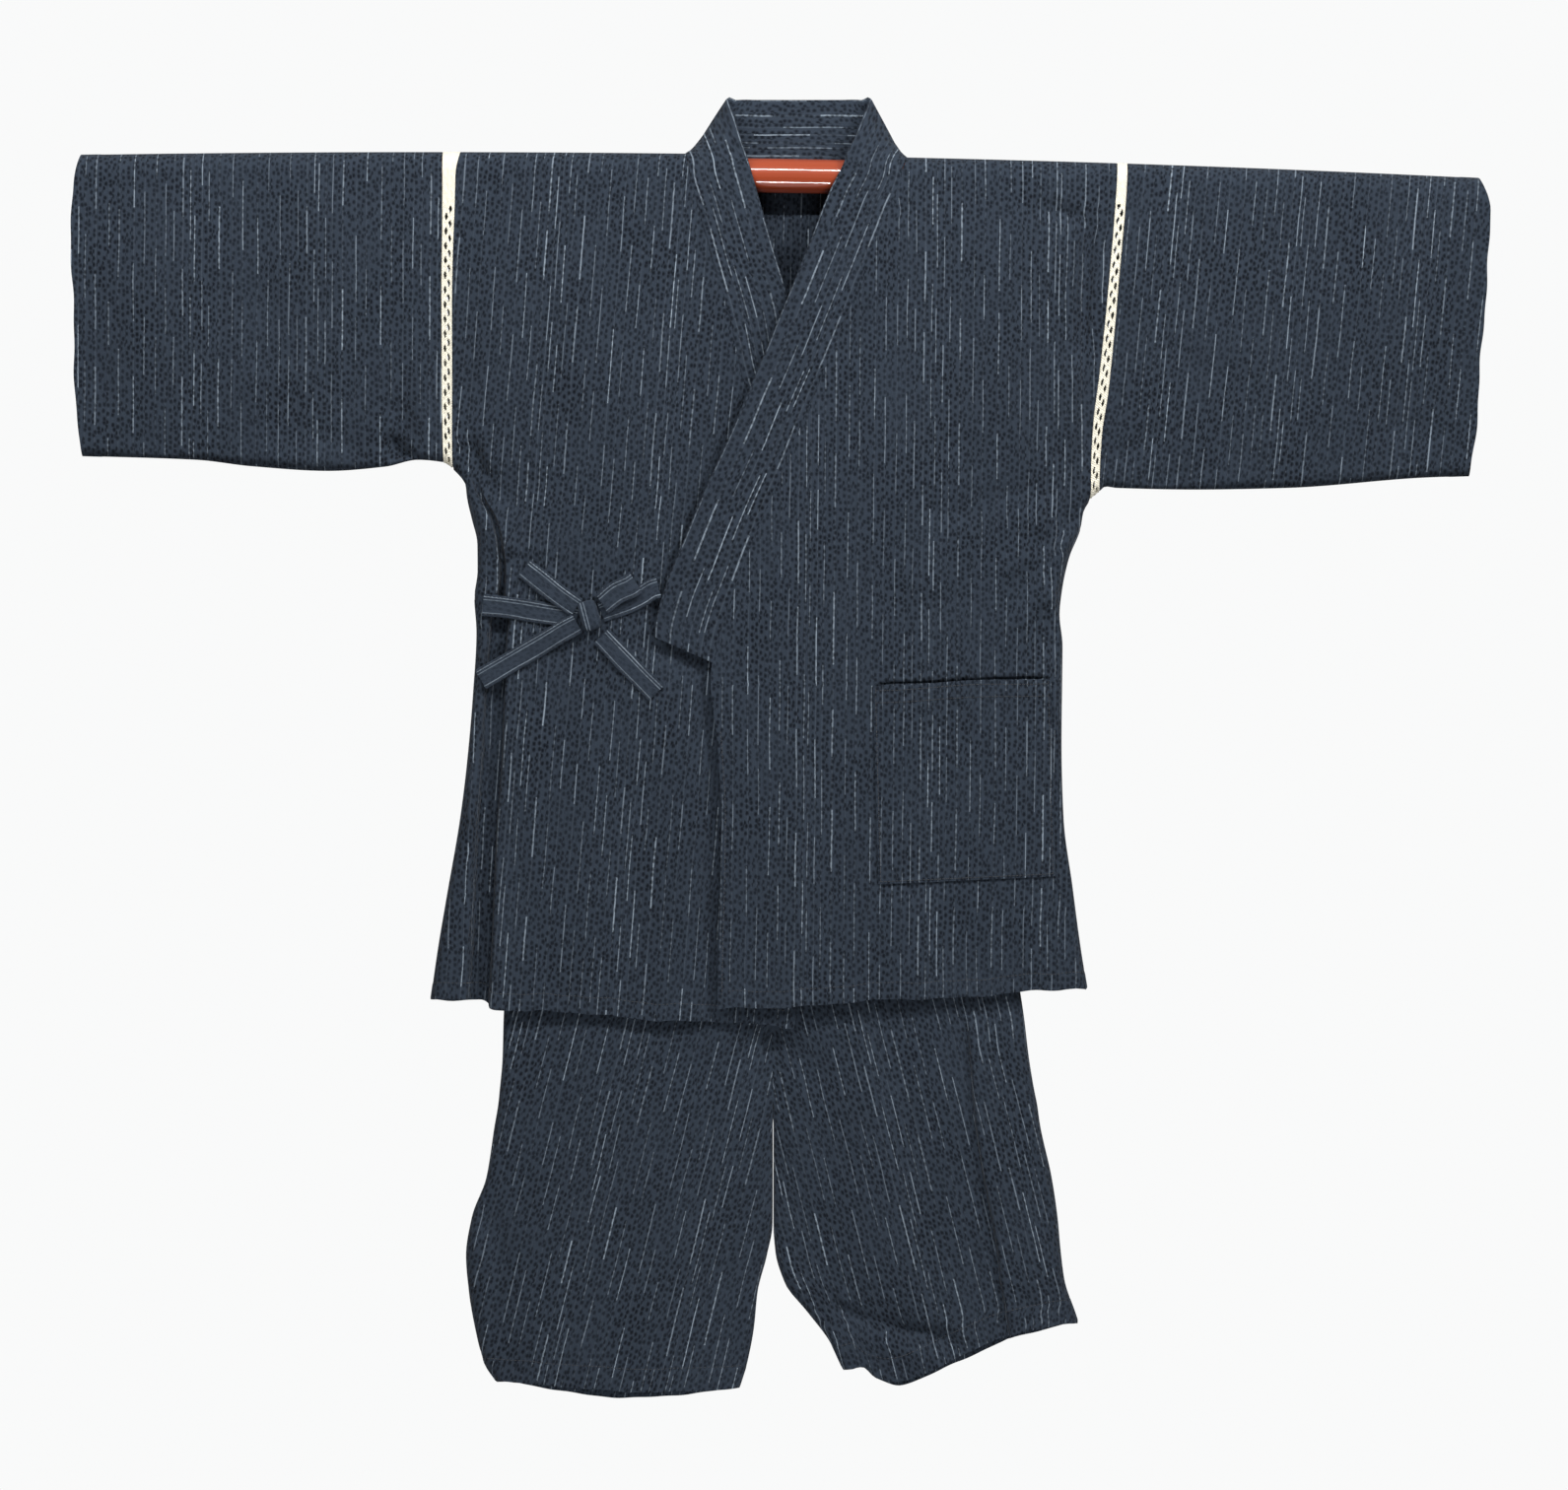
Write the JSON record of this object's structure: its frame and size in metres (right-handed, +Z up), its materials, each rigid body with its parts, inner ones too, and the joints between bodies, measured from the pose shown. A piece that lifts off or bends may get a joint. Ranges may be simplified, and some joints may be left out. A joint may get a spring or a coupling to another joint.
{
  "type": "jinbei set hung on a rod",
  "caption": "Wrap jacket with lace-joined sleeves, tied front and pocket over wide shorts, hung flat on a plain round rod.",
  "frame": {"origin": "on the rod's axis at its middle, where the neck leaves the rod bare and the rod is held", "axes": "+Z up, +X to the wearer's left along the rod, the front faces -Y"},
  "size_m": [1.2707, 0.0493, 1.1715],
  "materials": {
    "cloth": "matte crinkled cotton with pale stripes",
    "lace": "cream cotton lace",
    "tape": "plain undyed cotton tape",
    "rod": "glossy orange-red lacquer"
  },
  "bodies": {
    "root": {"right_front": "cloth", "left_front": "cloth", "right_back": "cloth", "left_back": "cloth", "right_sleeve": "cloth", "left_sleeve": "cloth", "right_lace": "lace", "left_lace": "lace", "collar": "cloth", "pocket": "cloth", "side_tie": "cloth", "front_tie": "cloth", "upper_tie_end": "cloth", "lower_right_tie_end": "cloth", "lower_left_tie_end": "cloth", "tie_loop": "cloth", "tie_knot": "cloth", "right_leg_front": "cloth", "right_leg_back": "cloth", "left_leg_front": "cloth", "left_leg_back": "cloth", "waistband": "cloth", "right_tape": "tape", "left_tape": "tape", "rod_right": "rod", "rod_middle": "rod", "rod_left": "rod"}
  },
  "joints": []
}
